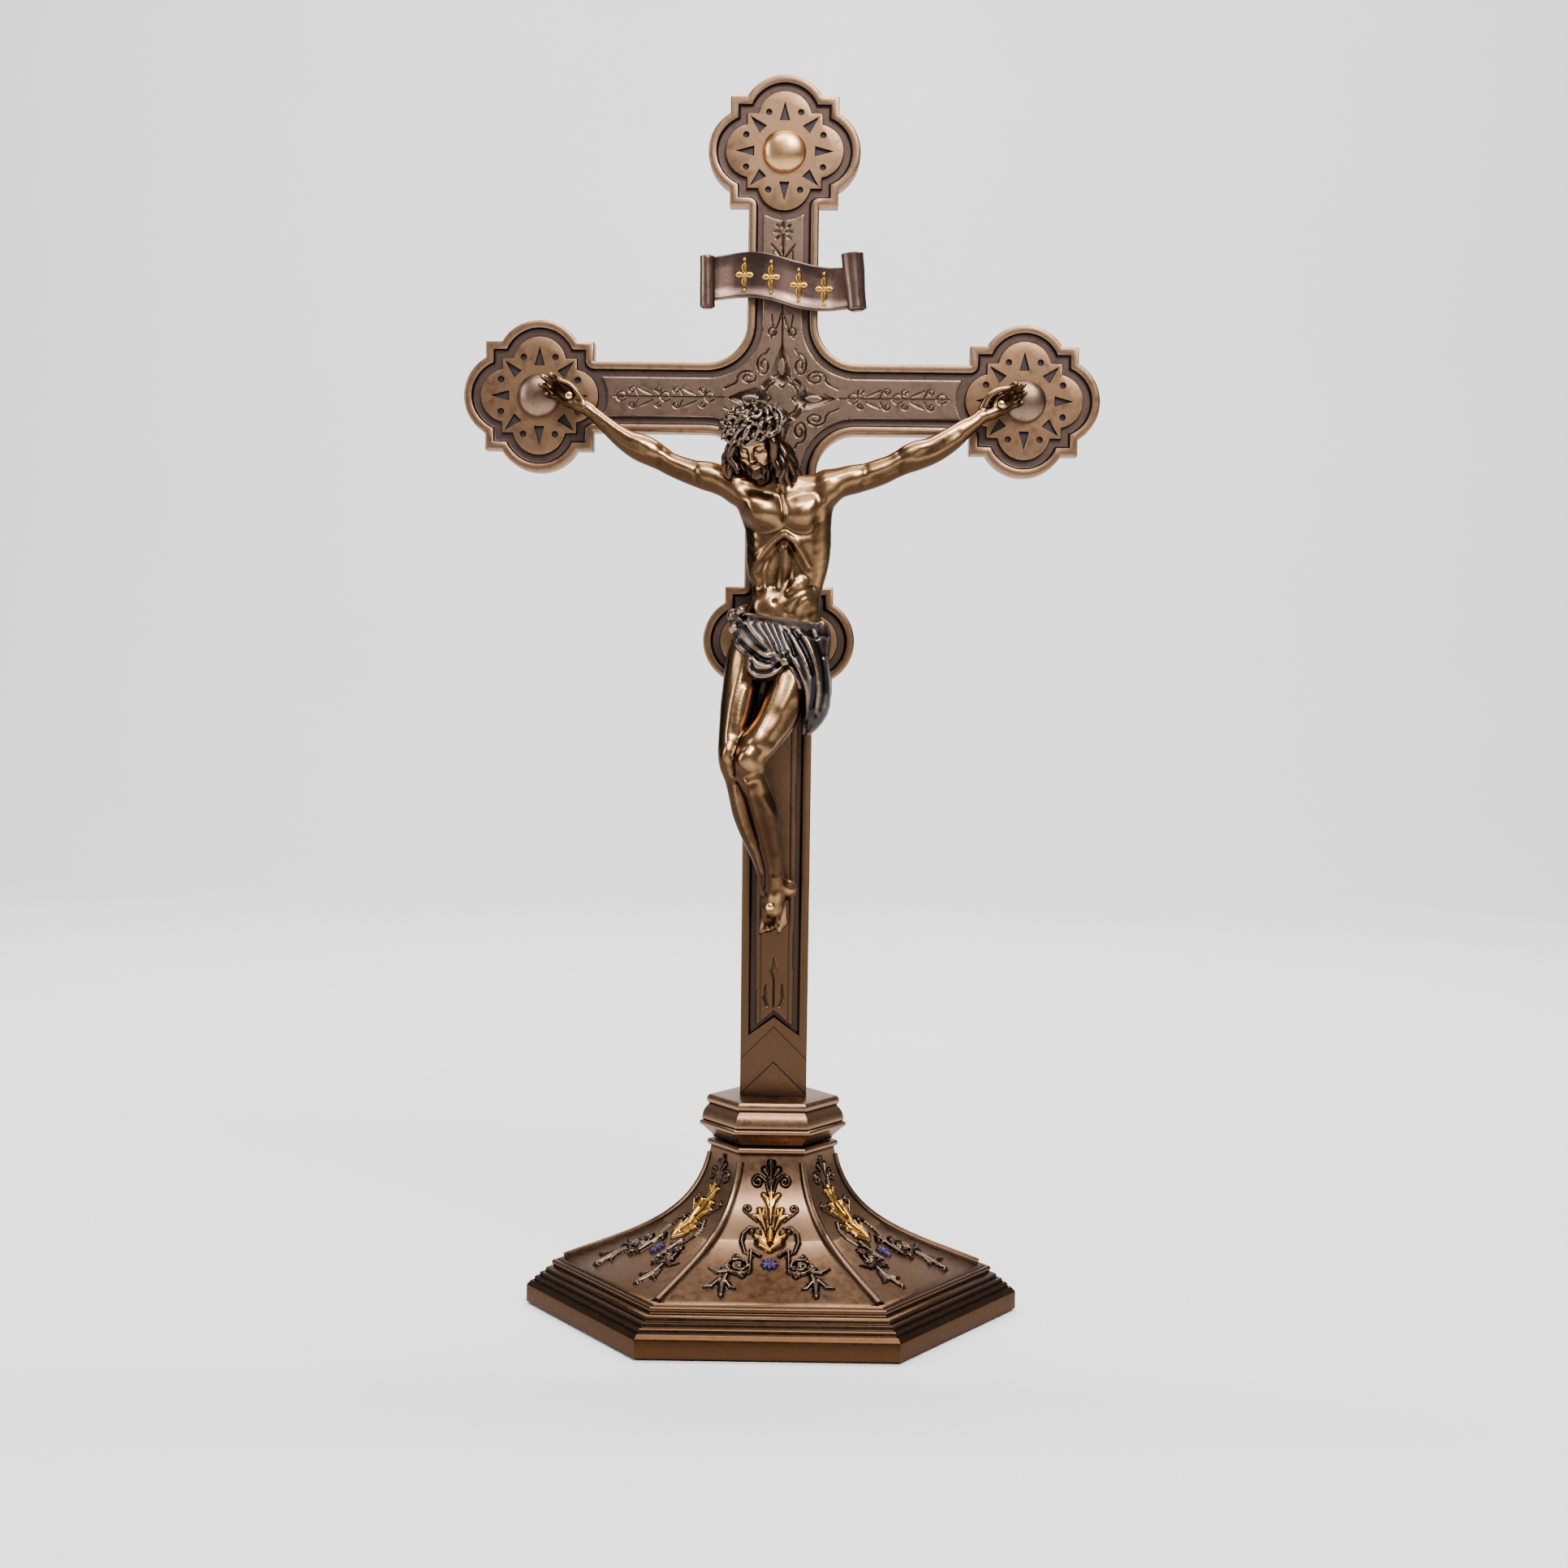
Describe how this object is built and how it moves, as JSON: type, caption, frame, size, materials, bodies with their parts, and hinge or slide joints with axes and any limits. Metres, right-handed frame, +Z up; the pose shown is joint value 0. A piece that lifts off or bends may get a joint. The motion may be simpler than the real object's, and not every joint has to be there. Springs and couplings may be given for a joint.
{
  "type": "altar cross",
  "caption": "Standing altar cross: a hollow hexagonal foot and collar carry a flat bronze cross with lobed ends, a scroll plate and a cast figure held by threaded nails.",
  "frame": {"origin": "middle of the underside, on the surface that the felt pad rests on", "axes": "+Z up along the shaft, -Y out of the cross's front face, +X to the viewer's right"},
  "size_m": [0.302, 0.2044, 0.5882],
  "materials": {
    "antique_bronze": "antique copper-brown bronze casting, satin, darker in its hollows",
    "polished_bronze": "smooth polished bronze dome",
    "scroll_bronze": "dark purple-brown satin bronze with gilt ornaments",
    "figure_bronze": "dark glossy bronze with golden highlights",
    "black_patina": "blue-black patinated bronze, semi-gloss",
    "gilt": "gilded, semi-polished",
    "plain_brass": "plain satin brass",
    "plain_steel": "plain turned steel",
    "green_felt": "dark green wool felt"
  },
  "bodies": {
    "root": {"foot_bell": "antique_bronze", "collar": "antique_bronze", "cross_plate": "antique_bronze", "boss_top": "polished_bronze", "boss_left": "polished_bronze", "boss_right": "polished_bronze", "scroll_plate": "scroll_bronze", "scroll_screw_left": "plain_brass", "scroll_screw_right": "plain_brass", "body_screw": "plain_brass", "figure_body": "figure_bronze", "figure_arm_left": "figure_bronze", "figure_arm_right": "figure_bronze", "shoulder_dowel_left": "plain_steel", "shoulder_dowel_right": "plain_steel", "loincloth": "black_patina", "crown_of_thorns": "black_patina", "nail_hand_left": "gilt", "nail_hand_right": "gilt", "nail_feet": "gilt", "nut_hand_left": "plain_brass", "nut_hand_right": "plain_brass", "nut_feet": "plain_brass", "tie_rod": "plain_steel", "tie_washer": "plain_steel", "tie_nut": "plain_steel", "cover_plate": "plain_brass", "felt_pad": "green_felt"}
  },
  "joints": []
}
